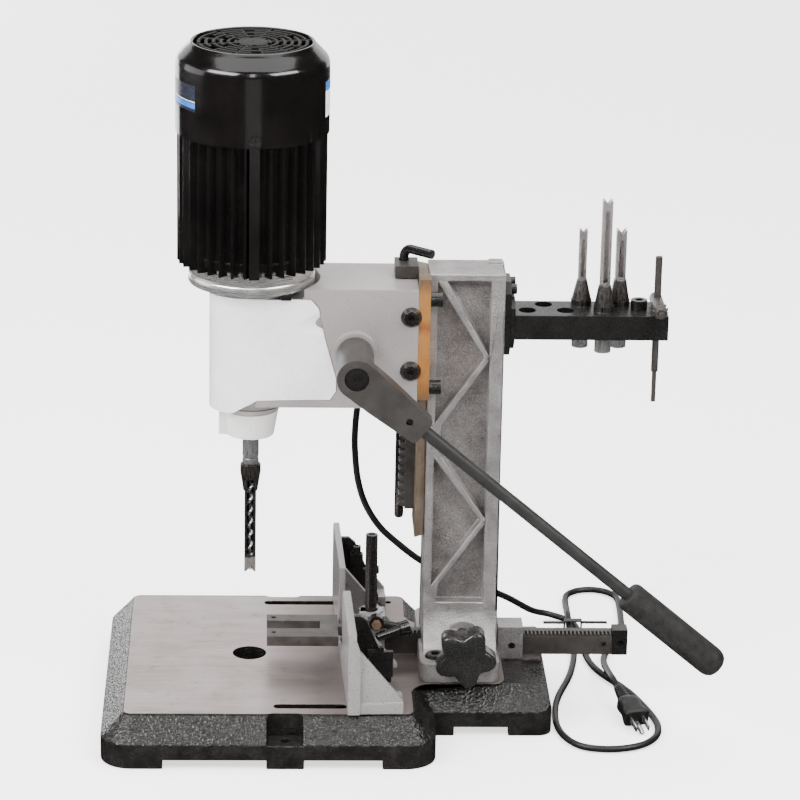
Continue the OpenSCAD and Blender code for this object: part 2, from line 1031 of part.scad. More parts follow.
module auger_bit() {
    color(dark) {
        cz(0, 0, 238, 372, 3.5);
        cz(0, 0, 138, 238.01, 1.7);
        translate([0, 0, 136.5])
            linear_extrude(height = 100, twist = -1080, slices = 54, segments = 4, $fn = 8)
                polygon([[-4.1, -0.9], [4.1, -0.9], [4.1, 0.9], [-4.1, 0.9]]);
    }
}

module switch_box() {
    color(black)
    difference() {
        rb(83, 131, 44.6, 84, 330, 414, 5);
        bx(84, 116, 80, 86, 350, 396);
        cz(107, 64, 320, 342, 6.5);
    }
}

module switch_paddle() {
    color([0.65, 0.08, 0.07])
    difference() {
        union() {
            bx(85, 115, 80.4, 88, 351, 395);
            bx(88, 112, 87.9, 92, 352, 360);
            cx(82, 394, 84.6, 115.4, 1.6);
        }
        bx(88, 112, 80, 84, 355, 391);
    }
}

module cord_gland() {
    color(black)
    difference() {
        union() {
            cz(107, 64, 322, 342, 6.5);
            cz(107, 64, 322, 329.9, 9.5);
            cz(107, 64, 306, 322.01, 6.2);
        }
        cz(107, 64, 300, 345, 3.4);
    }
}

// centre line of the power cord
cord_r = 3.4;
cord_pts = [
    [107, 64, 338], [107, 64, 305], [103.5, 62, 270], [103.5, 61, 241], [107, 61, 209], [115, 61, 183],
    [129, 61, 160], [147, 62, 142], [172, 66, 121], [205, 82, 98.5], [238, 112, 74], [266, 146, 49],
    [283, 172, 30], [292, 187, 19.5], [301, 196.5, 12.5], [313, 202, 8], [325, 200.2, 5],
    [334, 193.6, 4], [339.6, 183, 4], [342, 170, 4], [343.3, 150, 4], [344.4, 120, 4], [345.6, 97, 4],
    [349.5, 74, 4], [356.5, 54, 4], [365.5, 36, 4], [375, 18, 4], [384, -3, 4], [391.5, -27, 4],
    [398.5, -53, 4], [401.5, -76, 4], [398.5, -98, 4], [388, -116, 4], [371, -127.5, 4],
    [346, -132, 4], [321, -124, 4], [306, -98, 4], [301.8, -60, 4], [307.5, -12, 4], [324.5, 48, 4],
    [333, 99, 4], [334.3, 140, 4], [334, 162, 5.6], [333.6, 178, 8.9], [333.5, 194, 11.3],
    [334.3, 214, 8], [335.2, 234, 4.4], [336, 252, 4], [339.8, 266, 4], [350, 276.2, 4], [364, 280, 4],
    [378, 276.2, 4], [388.2, 266, 4], [392, 252, 4], [392, 230, 4], [391, 205, 4], [389, 178, 4],
    [383, 152, 4], [375, 128, 4.4], [367, 104, 6.2], [362, 80, 9.4], [360, 56, 13.4],
    [360.2, 32, 17.8], [361.3, 12, 21], [363.2, -3.72, 22.36], [367, -19, 19.5]];
cord_dirs = [for (i = [0 : len(cord_pts) - 1])
    let (a = cord_pts[max(0, i - 1)], b = cord_pts[min(len(cord_pts) - 1, i + 1)], d = b - a)
    d / norm(d)];
cord_sides = 8;

function ring_pts(p, d) = let (s = (abs(d[2]) > 0.9) ? [1, 0, 0] : [0, 0, 1],
    u = cross(d, s) / norm(cross(d, s)), v = cross(u, d))
    [for (k = [0 : cord_sides - 1])
        p + cord_r * (cos(k * 45) * u + sin(k * 45) * v)];

module power_cord() {
    n = len(cord_pts);
    verts = [for (i = [0 : n - 1]) each ring_pts(cord_pts[i], cord_dirs[i])];
    quads = [for (i = [0 : n - 2]) for (k = [0 : cord_sides - 1])
        let (a = i * cord_sides + k, b = i * cord_sides + (k + 1) % cord_sides)
        each [[a, b, b + cord_sides], [a, b + cord_sides, a + cord_sides]]];
    cap0 = [[for (k = [cord_sides - 1 : -1 : 0]) k]];
    cap1 = [[for (k = [0 : cord_sides - 1]) (n - 1) * cord_sides + k]];
    color(black)
    polyhedron(points = verts, faces = concat(quads, cap0, cap1));
}

module cord_tie() {
    color(black)
    translate([337.6, 176, 4])
        rotate([90, 0, 0])
            difference() {
                union() {
                    bx(-9.4, 9.4, -4, 9.4, 0, 8);
                    bx(9.3, 36, 5.4, 7.2, 1, 5);
                    bx(-31, -9.3, 5.4, 7.2, 2, 6);
                }
                bx(-8.2, 8.2, -5, 8.2, -1, 9);
            }
}

module plug() {
    color(black)
    translate([367, -19, 19.5])
        rotate([0, 10.3, -76]) {
            rotate([0, 90, 0])
                cylinder(r1 = 5, r2 = 7.5, h = 26);
            bx(25.9, 58, -12.5, 12.5, -7, 10);
        }
    color(bright)
    translate([367, -19, 19.5])
        rotate([0, 10.3, -76]) {
            bx(57.9, 76, -7.2, -5.6, -1.5, 4.5);
            bx(57.9, 76, 5.6, 7.2, -1.5, 4.5);
            translate([57.9, 0, -3])
                rotate([0, 90, 0])
                    cylinder(r = 2.4, h = 20);
        }
}

base_casting();
column_casting();
column_bolts();
dovetail_way();
way_screws();
feed_rack();
stop_block();
stop_rod();
tool_rack_flange();
tool_rack_bar();
tool_rack_screws();
spare_chisel_a();
spare_chisel_b();
spare_chisel_c();
chuck_key();
fence_guide();
guide_screws();
fence_pinion();
star_knob();
fence_casting();
fence_bar();
bar_end_block();
fence_brackets();
bracket_screws();
hold_fork();
hold_post();
lock_screw();
lock_handle();
head_casting();
chuck_cover();
brass_gib();
gib_screws();
side_screws();
feed_pinion();
lever_hub();
lever_arm();
lever_screw();
lever_rod();
lever_grip();
motor_end_bell();
motor_body();
fan_cover();
cover_screws();
motor_shaft();
motor_rotor();
motor_fan();
motor_bearings();
chuck_body();
chuck_jaws();
chisel_holder();
holder_screw();
mortising_chisel();
auger_bit();
switch_box();
switch_paddle();
cord_gland();
power_cord();
cord_tie();
plug();
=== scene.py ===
import json
import math

import bmesh
import bpy
from mathutils import Matrix, Vector

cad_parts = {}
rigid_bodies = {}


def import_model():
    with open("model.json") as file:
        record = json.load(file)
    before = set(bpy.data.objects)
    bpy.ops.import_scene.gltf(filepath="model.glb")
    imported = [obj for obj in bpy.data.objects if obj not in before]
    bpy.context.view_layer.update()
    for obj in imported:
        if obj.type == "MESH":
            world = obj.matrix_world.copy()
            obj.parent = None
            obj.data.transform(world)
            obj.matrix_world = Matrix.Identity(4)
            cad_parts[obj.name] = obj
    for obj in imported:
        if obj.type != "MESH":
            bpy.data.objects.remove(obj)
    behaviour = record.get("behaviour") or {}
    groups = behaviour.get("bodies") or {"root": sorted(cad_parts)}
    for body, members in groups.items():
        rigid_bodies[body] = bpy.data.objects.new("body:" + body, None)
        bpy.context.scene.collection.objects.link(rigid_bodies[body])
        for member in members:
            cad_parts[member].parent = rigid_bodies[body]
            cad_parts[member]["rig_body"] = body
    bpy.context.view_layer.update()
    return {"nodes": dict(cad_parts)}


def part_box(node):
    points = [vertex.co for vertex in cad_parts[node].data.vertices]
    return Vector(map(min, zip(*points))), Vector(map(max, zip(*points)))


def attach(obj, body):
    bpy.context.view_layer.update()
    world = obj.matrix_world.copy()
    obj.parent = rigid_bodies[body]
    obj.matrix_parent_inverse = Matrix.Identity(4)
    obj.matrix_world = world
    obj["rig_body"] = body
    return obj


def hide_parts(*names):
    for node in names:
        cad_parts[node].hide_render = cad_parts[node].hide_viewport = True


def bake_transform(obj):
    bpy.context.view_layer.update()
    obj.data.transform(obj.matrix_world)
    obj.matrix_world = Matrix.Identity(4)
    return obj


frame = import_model()
NODES = frame["nodes"]
sin, cos, pi = math.sin, math.cos, math.pi
MM = 0.001  # design values are in mm, the scene is in metres

# camera: focal length and sensor in mm, place in metres, turns in degrees
LENS, SENSOR = 162, 36
CAMERA_AT = (0.0068, -3.3066, 1.4508)
CAMERA_YAW, CAMERA_PITCH, CAMERA_ROLL = -2.39, 71.05, 1.14

# shared design values, mm
PINION_X, PINION_Z = 209.5, 81.45  # the fence pinion's axis, along Y
COVER_R = 73  # fan cover
STOP_X, STOP_Y = 146.5, 16  # depth stop rod
STOP_BEND_R = 9.4
CORD_R = 3.35
PLUG_AT = (367, -19, 19.5)
PLUG_YAW, PLUG_TILT = -76, 10.3


# ---------------------------------------------------------------- camera
def make_camera():
    data = bpy.data.cameras.new("camera")
    data.lens = LENS
    data.sensor_width = SENSOR
    data.clip_end = 60
    cam = bpy.data.objects.new("camera", data)
    bpy.context.scene.collection.objects.link(cam)
    turn = (
        Matrix.Rotation(math.radians(CAMERA_YAW), 4, "Z")
        @ Matrix.Rotation(math.radians(CAMERA_PITCH), 4, "X")
        @ Matrix.Rotation(math.radians(CAMERA_ROLL), 4, "Z")
    )
    cam.matrix_world = Matrix.Translation(CAMERA_AT) @ turn
    bpy.context.scene.camera = cam


make_camera()


# ---------------------------------------------------------------- materials
class Mat:
    """A small builder for node materials. Coordinates are the piece's own, in metres."""

    def __init__(self, name, color, rough=0.5, metal=0.0, spec=0.5, coat=0.0, coat_rough=0.1):
        self.m = bpy.data.materials.new(name)
        self.m.use_nodes = True
        self.t = self.m.node_tree
        self.b = self.t.nodes["Principled BSDF"]
        self.b.inputs["Base Color"].default_value = (*color, 1)
        self.b.inputs["Roughness"].default_value = rough
        self.b.inputs["Metallic"].default_value = metal
        self.b.inputs["Specular IOR Level"].default_value = spec
        self.b.inputs["Coat Weight"].default_value = coat
        self.b.inputs["Coat Roughness"].default_value = coat_rough
        self.co = self.t.nodes.new("ShaderNodeTexCoord").outputs["Object"]

    def put(self, socket, value):
        """Links an output, or sets a plain value."""
        if hasattr(value, "is_output"):
            self.t.links.new(value, socket)
        elif hasattr(value, "__len__") and len(value) == 3 and socket.type == "RGBA":
            socket.default_value = (*value, 1)
        else:
            socket.default_value = value

    def stretch(self, s):
        """the coordinates scaled by s, for marks that run along one axis"""
        n = self.t.nodes.new("ShaderNodeMapping")
        n.inputs["Scale"].default_value = s
        self.t.links.new(self.co, n.inputs["Vector"])
        return n.outputs["Vector"]

    def noise(self, scale, detail=3, rough=0.55, vec=None, distort=0.0):
        n = self.t.nodes.new("ShaderNodeTexNoise")
        self.put(n.inputs["Vector"], vec or self.co)
        n.inputs["Scale"].default_value = scale
        n.inputs["Detail"].default_value = detail
        n.inputs["Roughness"].default_value = rough
        n.inputs["Distortion"].default_value = distort
        return n.outputs["Fac"]

    def cells(self, scale, feature="F1", smooth=0.3):
        n = self.t.nodes.new("ShaderNodeTexVoronoi")
        n.feature = feature
        self.put(n.inputs["Vector"], self.co)
        n.inputs["Scale"].default_value = scale
        if feature == "SMOOTH_F1":
            n.inputs["Smoothness"].default_value = smooth
        return n.outputs["Distance"]

    def ramp(self, fac, *stops):
        """stops are (position, grey level or colour)"""
        n = self.t.nodes.new("ShaderNodeValToRGB")
        self.t.links.new(fac, n.inputs["Fac"])
        e = n.color_ramp.elements
        while len(e) < len(stops):
            e.new(0.5)
        for k, (at, c) in enumerate(stops):
            e[k].position = at
            e[k].color = (*c, 1) if hasattr(c, "__len__") else (c, c, c, 1)
        return n.outputs["Color"]

    def mix(self, fac, a, b, mode="MIX"):
        n = self.t.nodes.new("ShaderNodeMix")
        n.data_type = "RGBA"
        n.blend_type = mode
        self.put(n.inputs[0], fac)
        self.put(n.inputs[6], a)
        self.put(n.inputs[7], b)
        return n.outputs[2]

    def math(self, op, a, b=0.0):
        n = self.t.nodes.new("ShaderNodeMath")
        n.operation = op
        self.put(n.inputs[0], a)
        self.put(n.inputs[1], b)
        return n.outputs[0]

    def bump(self, height, distance, strength=1.0):
        """Adds relief on top of any relief already there; distance is in metres."""
        n = self.t.nodes.new("ShaderNodeBump")
        n.inputs["Distance"].default_value = distance
        n.inputs["Strength"].default_value = strength
        self.t.links.new(height, n.inputs["Height"])
        if self.b.inputs["Normal"].links:
            old = self.b.inputs["Normal"].links[0].from_socket
            self.t.links.new(old, n.inputs["Normal"])
        self.t.links.new(n.outputs["Normal"], self.b.inputs["Normal"])

    def color(self, value):
        self.t.links.new(value, self.b.inputs["Base Color"])

    def rough(self, fac, lo, hi):
        self.t.links.new(self.ramp(fac, (0.3, lo), (0.7, hi)), self.b.inputs["Roughness"])

    def axis(self, k):
        """one coordinate, in metres"""
        n = self.t.nodes.new("ShaderNodeSeparateXYZ")
        self.t.links.new(self.co, n.inputs[0])
        return n.outputs[k]


def shade(color, factor):
    return tuple(min(1, factor * x) for x in color)


def crinkle():
    """thick glossy textured paint on cast iron"""
    m = Mat("crinkle_paint", (0.008, 0.0075, 0.007), 0.2, spec=0.33)
    n = m.noise(440, 2, 0.5)
    c = m.cells(360, "SMOOTH_F1", smooth=0.35)
    m.color(m.ramp(m.noise(70, 4), (0.3, (0.005, 0.0045, 0.004)), (0.7, (0.014, 0.0128, 0.012))))
    m.rough(m.noise(160, 3), 0.12, 0.26)
    m.bump(m.math("ADD", m.math("MULTIPLY", c, 0.8), n), 0.00085, 1.0)
    return m.m


def ground_top():
    """ground iron with fine marks along X and a brown cast; toward the back (+X) it is darker, a
    painted shade and painted reflection of the dark column
    """
    m = Mat("ground_iron", (0.36, 0.33, 0.31), 0.36, metal=0.85)
    big = m.noise(11, 5, 0.65, distort=0.6)
    fine = m.noise(330, 3, 0.6, vec=m.stretch((0.05, 1, 1)))
    wide = m.noise(34, 3, 0.6, vec=m.stretch((0.18, 1, 1)))
    a = m.ramp(big, (0.3, (0.29, 0.225, 0.205)), (0.48, (0.44, 0.375, 0.36)),
               (0.70, (0.50, 0.475, 0.48)))
    b = m.mix(m.ramp(fine, (0.35, 0.0), (0.75, 0.8)), a, (0.60, 0.53, 0.52))
    b = m.mix(m.ramp(wide, (0.45, 0.0), (0.8, 0.5)), b, (0.33, 0.27, 0.25))
    spots = m.ramp(m.noise(46, 5, 0.7), (0.58, 0.0), (0.72, 0.6))
    b = m.mix(spots, b, (0.27, 0.20, 0.16))
    # painted shade: the colour darkens toward +X, standing in for the column's shade and its dark
    # reflection on the table
    along = m.math("ADD", m.math("MULTIPLY", m.axis(0), 9.0), m.math("MULTIPLY", big, 0.6))
    m.color(m.mix(m.ramp(along, (0.45, 0.0), (0.95, 0.75)), b, (0.17, 0.135, 0.125)))
    m.rough(fine, 0.30, 0.46)
    m.bump(fine, 0.00006, 0.6)
    return m.m


def enamel(name, color, grain=0.0003, metal=0.2, rough=0.36):
    """metallic silver enamel with orange peel"""
    m = Mat(name, color, rough, metal=metal, spec=0.5, coat=0.3, coat_rough=0.2)
    peel = m.noise(520, 3, 0.6)
    big = m.noise(14, 3)
    base = m.ramp(big, (0.3, shade(color, 0.88)), (0.7, shade(color, 1.08)))
    fleck = m.ramp(m.noise(900, 2, 0.7), (0.45, 0.0), (0.66, 0.6))
    m.color(m.mix(fleck, base, shade(color, 1.3)))
    m.rough(peel, rough - 0.08, rough + 0.1)
    m.bump(peel, grain, 0.8)
    m.bump(m.noise(70, 3), grain * 1.5, 0.4)
    return m.m


def cast_alu(name, lo, hi, grain, speck_and_glint=1.0):
    """as-cast aluminium, grainy, with dark specks and painted glints: light flecks in the colour
    stand in for its sparkle
    """
    m = Mat(name, hi, 0.36, metal=0.75)
    g = m.noise(540, 4, 0.7)
    base = m.ramp(m.noise(36, 5, 0.65), (0.3, lo), (0.7, hi))
    dark = m.ramp(m.noise(480, 3, 0.75), (0.30, 0.6 * speck_and_glint), (0.5, 0.0))
    base = m.mix(dark, base, shade(lo, 0.45))
    # painted glints: light flecks mixed into the colour for the metal's sparkle
    painted_glint = m.ramp(m.noise(800, 2, 0.8), (0.54, 0.0), (0.70, 0.6 * speck_and_glint))
    m.color(m.mix(painted_glint, base, shade(hi, 1.9)))
    m.rough(g, 0.24, 0.5)
    m.bump(g, grain, 1.0)
    m.bump(m.noise(90, 3), 0.0012, 0.35)
    return m.m


def steel(name, lo, hi, rough, metal, along=(1, 1, 1), scale=400, grain=0.00012, spots=None):
    """worked steel; along stretches the marks, spots is the colour of any stains"""
    m = Mat(name, hi, rough, metal=metal)
    n = m.noise(scale, 4, 0.65, vec=m.stretch(along))
    base = m.ramp(m.noise(38, 4, 0.6), (0.32, lo), (0.7, hi))
    base = m.mix(m.ramp(n, (0.4, 0.0), (0.8, 0.5)), base, shade(hi, 1.25))
    if spots:
        k = m.ramp(m.noise(85, 5, 0.7), (0.52, 0.0), (0.66, 0.85))
        base = m.mix(k, base, spots)
    m.color(base)
    m.rough(n, max(0.08, rough - 0.1), rough + 0.14)
    m.bump(n, grain, 0.7)
    return m.m


def gloss_black():
    """smooth black stove enamel"""
    m = Mat("gloss_black", (0.0035, 0.003, 0.003), 0.2, spec=0.42, coat=0.35, coat_rough=0.06)
    n = m.noise(210, 2, 0.5)
    m.color(m.ramp(m.noise(24, 3), (0.3, (0.0025, 0.002, 0.002)), (0.7, (0.005, 0.0044, 0.004))))
    m.rough(m.noise(60, 4), 0.14, 0.26)
    m.bump(n, 0.00012, 0.5)
    return m.m


def satin(name, color, rough, scale, grain, spec=0.4):
    """plastic, rubber or blackened steel, with a faint uneven grain"""
    m = Mat(name, color, rough, spec=spec)
    n = m.noise(scale, 3, 0.6)
    d = tuple(0.75 * x for x in color)
    u = tuple(1.3 * x for x in color)
    m.color(m.ramp(m.noise(50, 4, 0.6), (0.3, d), (0.7, u)))
    m.rough(n, rough - 0.1, rough + 0.12)
    m.bump(n, grain, 0.7)
    return m.m


def foam():
    """foam rubber of the lever's grip"""
    m = Mat("foam_rubber", (0.014, 0.0125, 0.0115), 0.6, spec=0.25)
    n = m.cells(900, "F1")
    m.color(m.ramp(m.noise(120, 4), (0.3, (0.008, 0.0071, 0.0066)), (0.7, (0.018, 0.0162, 0.015))))
    m.rough(m.noise(160, 4), 0.5, 0.74)
    m.bump(n, 0.0006, 0.7)
    return m.m


def banded(name, bands, rough=0.3, metal=0.9):
    """metal whose colour changes with height; bands are (Z in mm, colour)"""
    m = Mat(name, bands[0][1], rough, metal=metal)
    lo, hi = bands[0][0], bands[-1][0]
    u = m.math("MULTIPLY", m.math("SUBTRACT", m.axis(2), lo * MM), 1000 / (hi - lo))
    wave = m.math("MULTIPLY", m.math("SUBTRACT", m.noise(160, 4, 0.6), 0.5), 0.03)
    base = m.ramp(m.math("ADD", u, wave), *[((z - lo) / (hi - lo), c) for z, c in bands])
    fine = m.noise(900, 4, 0.65, vec=m.stretch((1, 1, 0.08)))
    m.color(m.mix(m.ramp(fine, (0.35, 0.0), (0.8, 0.2)), base, (0.6, 0.6, 0.6), "SCREEN"))
    m.rough(fine, rough - 0.1, rough + 0.14)
    m.bump(fine, 0.00003, 0.6)
    return m.m


BRONZE = (0.055, 0.04, 0.032)
MAT = {
    "chisel": banded("mortising_chisel", [
        (137, (0.62, 0.56, 0.52)), (151, (0.60, 0.55, 0.52)), (153, (0.035, 0.033, 0.033)),
        (222, (0.03, 0.029, 0.029)), (247, BRONZE), (248.5, (0.02, 0.02, 0.02)),
        (250, (0.45, 0.44, 0.43)), (256, (0.5, 0.5, 0.5)), (300, (0.62, 0.62, 0.62))]),
    "spare": banded("spare_chisels", [
        (365, (0.55, 0.55, 0.55)), (407, (0.5, 0.5, 0.5)), (410, (0.03, 0.024, 0.02)),
        (418, (0.05, 0.04, 0.035)), (434, (0.11, 0.10, 0.095)), (437, (0.62, 0.58, 0.57)),
        (520, (0.80, 0.76, 0.75))]),
    "base": crinkle(),
    "top": ground_top(),
    "head": enamel("silver_enamel", (0.30, 0.277, 0.272), metal=0.4, rough=0.34),
    "holder": enamel("holder_enamel", (0.70, 0.68, 0.67), metal=0.2, rough=0.36),
    "cover": enamel("cover_enamel", (0.72, 0.71, 0.75), grain=0.0001, metal=0.15, rough=0.34),
    "fence": enamel("fence_enamel", (0.27, 0.256, 0.254), grain=0.0009, metal=0.4, rough=0.32),
    "alu": cast_alu("cast_aluminium", (0.22, 0.205, 0.20), (0.44, 0.422, 0.416), 0.0011, 0.4),
    # a darker copy of the cast aluminium for the column's pocket floors: painted shade in the
    # recesses
    "alu_pocket_shade": cast_alu("cast_aluminium_pocket_painted_shade", (0.14, 0.127, 0.122), (0.33, 0.308, 0.30),
                          0.0014, 0.8),
    "bright_alu": steel("turned_aluminium", (0.62, 0.60, 0.585), (0.82, 0.80, 0.78), 0.26, 0.9,
                        (0.02, 0.02, 1), 700, 0.00001),
    "guide": cast_alu("guide_aluminium", (0.2, 0.19, 0.185), (0.36, 0.345, 0.34), 0.0004),
    "gloss": gloss_black(),
    "bracket": satin("black_enamel", (0.006, 0.0056, 0.0053), 0.32, 500, 0.0003, 0.4),
    "way": steel("way_steel", (0.10, 0.075, 0.052), (0.20, 0.155, 0.115), 0.42, 0.6,
                 (1, 1, 0.05), 700),
    "rack": steel("rack_steel", (0.026, 0.0228, 0.0205), (0.056, 0.05, 0.0455), 0.4, 0.45),
    "brass": banded("brass", [
        (329, (0.26, 0.14, 0.06)), (336, (0.42, 0.19, 0.055)), (350, (0.66, 0.26, 0.05)),
        (393, (0.76, 0.32, 0.07)), (402, (0.54, 0.16, 0.04)), (411, (0.76, 0.34, 0.075)),
        (434, (0.68, 0.30, 0.07)), (443, (0.36, 0.19, 0.07)), (451, (0.2, 0.125, 0.065))],
        0.42, 0.8),
    "oxide": satin("black_oxide", (0.007, 0.0064, 0.006), 0.2, 700, 0.00008, 0.6),
    "bright": steel("bright_steel", (0.42, 0.42, 0.42), (0.68, 0.68, 0.68), 0.24, 0.95,
                    (1, 1, 0.06), 700),
    "fork": steel("plated_steel", (0.07, 0.063, 0.059), (0.13, 0.118, 0.112), 0.46, 0.75,
                  (0.12, 1, 1), 420, spots=(0.07, 0.07, 0.067)),
    "dull": steel("dull_steel", (0.045, 0.04, 0.037), (0.11, 0.098, 0.09), 0.4, 0.7),
    "rust": steel("brown_steel", (0.13, 0.07, 0.045), (0.24, 0.15, 0.10), 0.5, 0.5,
                  spots=(0.30, 0.12, 0.05)),
    "phosphate": steel("phosphated_steel", (0.026, 0.0235, 0.0218), (0.049, 0.0445, 0.0415),
                       0.36, 0.35, scale=1100, grain=0.0002),
    "rod": satin("rod_steel", (0.017, 0.0164, 0.0158), 0.42, 900, 0.00006, 0.2),
    "foam": foam(),
    "grille": satin("grille_black", (0.005, 0.0046, 0.0042), 0.5, 500, 0.0002, 0.2),
    "knob": satin("knob_plastic", (0.011, 0.0105, 0.01), 0.26, 500, 0.00003, 0.5),
    "plastic": satin("black_plastic", (0.007, 0.0066, 0.0062), 0.36, 800, 0.00015, 0.4),
    "red": satin("red_plastic", (0.45, 0.02, 0.015), 0.35, 700, 0.0001),
    "rubber": satin("cord_rubber", (0.0065, 0.0058, 0.0054), 0.42, 1200, 0.00012, 0.4),
    "label": satin("label_white", (0.62, 0.64, 0.66), 0.4, 600, 0.00003),
    "label_dark": satin("label_dark", (0.01, 0.012, 0.02), 0.3, 600, 0.00003),
    "label_blue": satin("label_blue", (0.01, 0.10, 0.42), 0.3, 600, 0.00003),
}


# ---------------------------------------------------------------- mesh helpers
def finish_mesh(name, bm, mats, smooth, node=None, replaces=(), weld=True,
                weigh=False):
    """Turns a bmesh, in metres, into a piece of the model. It stands in for its CAD node and
    rides that node's body; without a node it rides nothing. Edges over smooth degrees are sharp."""
    if weld:
        bmesh.ops.remove_doubles(bm, verts=bm.verts, dist=2e-6)
    bmesh.ops.recalc_face_normals(bm, faces=bm.faces)
    for f in bm.faces:
        f.smooth = True
    for e in bm.edges:
        e.smooth = len(e.link_faces) == 2 and e.calc_face_angle(0) < math.radians(smooth)
    me = bpy.data.meshes.new(name)
    bm.to_mesh(me)
    bm.free()
    for k in mats if isinstance(mats, (list, tuple)) else [mats]:
        me.materials.append(MAT[k])
    o = bpy.data.objects.new(name, me)
    bpy.context.scene.collection.objects.link(o)
    if weigh:
        w = o.modifiers.new("weigh", "WEIGHTED_NORMAL")
        w.keep_sharp = True
        w.weight = 60
    if node:
        body = NODES[node]["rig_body"]
        if body:
            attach(o, body)
        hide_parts(node)
    for n in replaces:
        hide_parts(n)
    return o


def bevel_edges(bm, width, segments):
    """Rounds every edge that turns by more than 30 degrees; width is in metres."""
    edges = [
        e for e in bm.edges
        if len(e.link_faces) == 2 and e.calc_face_angle(0) > math.radians(30)
        and e.calc_length() > 1e-5
    ]
    if edges:
        bmesh.ops.bevel(bm, geom=edges, offset=width, segments=segments, profile=0.6,
                        affect="EDGES", clamp_overlap=False)


def from_cad(node, mats, bevel, assign=None, segments=2, join=True):
    """A detailed copy of one CAD node: flat faces joined again and the edges rounded. assign
    gives the material's index for a face. join=False keeps the triangles, which the column's
    slender ribs need: joined and then rounded, they came out black."""
    bm = bmesh.new()
    bm.from_mesh(NODES[node].data)
    bmesh.ops.remove_doubles(bm, verts=bm.verts, dist=3e-6)
    if join:
        bmesh.ops.dissolve_limit(bm, angle_limit=math.radians(0.6), verts=bm.verts, edges=bm.edges)
    bmesh.ops.recalc_face_normals(bm, faces=bm.faces)
    if bevel:
        bevel_edges(bm, bevel, segments)
    for f in bm.faces:
        f.material_index = 0
    if assign:
        for f in bm.faces:
            f.normal_update()
            f.material_index = assign(f)
    bmesh.ops.triangulate(bm, faces=[f for f in bm.faces if len(f.verts) > 4])
    finish_mesh(node + "_detail", bm, mats, node=node, smooth=50, weld=False, weigh=bool(bevel))


def lathe(bm, profile, origin=(0, 0, 0), axis="Z", segs=96):
    """A turned shape; profile is (radius, height) in mm and axis is Z, X or Y."""
    rings = []
    ox, oy, oz = origin
    for r, h in profile:
        ring = []
        for k in range(1 if r < 1e-6 else segs):
            a = 2 * pi * k / segs
            c, s = r * cos(a), r * sin(a)
            p = {"Z": (ox + c, oy + s, oz + h), "Y": (ox + c, oy + h, oz + s),
                 "X": (ox + h, oy + c, oz + s)}[axis]
            ring.append(bm.verts.new(Vector(p) * MM))
        rings.append(ring)
    for a, b in zip(rings, rings[1:]):
        n = max(len(a), len(b))
        for k in range(n):
            j = (k + 1) % n
            loop = [a[k % len(a)], a[j % len(a)], b[j % len(b)], b[k % len(b)]]
            seen = []
            for v in loop:
                if v not in seen:
                    seen.append(v)
            if len(seen) > 2:
                bm.faces.new(seen)


def block(bm, x0, x1, y0, y1, z0, z1, r, turn=None, mat=0):
    """A block in mm with edges rounded by r; turn is an optional matrix applied after."""
    t = bmesh.new()
    bmesh.ops.create_cube(t, size=1)
    for v in t.verts:
        v.co = Vector((x0 + (v.co.x + 0.5) * (x1 - x0), y0 + (v.co.y + 0.5) * (y1 - y0),
                       z0 + (v.co.z + 0.5) * (z1 - z0)))
    bmesh.ops.bevel(t, geom=t.edges[:], offset=r, segments=2, profile=0.5,
                    affect="EDGES", clamp_overlap=True)
    if turn:
        bmesh.ops.transform(t, matrix=turn, verts=t.verts)
    add_bm(bm, t, mat)


def add_bm(bm, t, mat=0):
    """Adds t, in mm, to bm and frees it."""
    bmesh.ops.scale(t, vec=(MM,) * 3, verts=t.verts)
    vs = {v: bm.verts.new(v.co) for v in t.verts}
    for f in t.faces:
        bm.faces.new([vs[v] for v in f.verts]).material_index = mat
    t.free()


def smooth_path(pts, steps=6):
    """Points along a Catmull-Rom curve through pts."""
    p = [Vector(q) for q in pts]
    p = [2 * p[0] - p[1]] + p + [2 * p[-1] - p[-2]]
    out = []
    for k in range(1, len(p) - 2):
        a, b, c, d = p[k - 1:k + 3]
        for i in range(steps):
            t = i / steps
            out.append(0.5 * (2 * b + (c - a) * t + (2 * a - 5 * b + 4 * c - d) * t * t
                              + (3 * b - a - 3 * c + d) * t ** 3))
    out.append(p[-2].copy())
    return out


def sweep(bm, path, radius, sides):
    """A tube along path (mm); radius is a number or a function of the arc length in mm."""
    rings = []
    s = 0.0
    u = (path[1] - path[0]).normalized().orthogonal().normalized()
    for k, p in enumerate(path):
        if k:
            s += (p - path[k - 1]).length
        t = (path[min(k + 1, len(path) - 1)] - path[max(k - 1, 0)]).normalized()
        u = (u - t * u.dot(t)).normalized()
        v = t.cross(u)
        r = radius(s) if callable(radius) else radius
        rings.append([bm.verts.new((p + r * (cos(2 * pi * i / sides) * u
                                             + sin(2 * pi * i / sides) * v)) * MM)
                      for i in range(sides)])
    for a, b in zip(rings, rings[1:]):
        for i in range(sides):
            j = (i + 1) % sides
            bm.faces.new([a[i], a[j], b[j], b[i]])
    bm.faces.new(rings[0][::-1])
    bm.faces.new(rings[-1])


def loft(bm, sections, turn, n, mat=0):
    """A solid along X through rounded sections, each (x, y centre, z centre, half width,
    half height, power) in mm; power 2 is an ellipse and more is squarer."""
    rings = []
    for x, cy, cz, w, h, q in sections:
        ring = []
        for k in range(n):
            a = 2 * pi * (k + 0.5) / n
            c, d = cos(a), sin(a)
            p = Vector((x, cy + w * math.copysign(abs(c) ** (2 / q), c),
                        cz + h * math.copysign(abs(d) ** (2 / q), d)))
            ring.append(bm.verts.new((turn @ p) * MM))
        rings.append(ring)
    for a, b in zip(rings, rings[1:]):
        for k in range(n):
            j = (k + 1) % n
            bm.faces.new([a[k], a[j], b[j], b[k]]).material_index = mat
    bm.faces.new(rings[0][::-1]).material_index = mat
    bm.faces.new(rings[-1]).material_index = mat


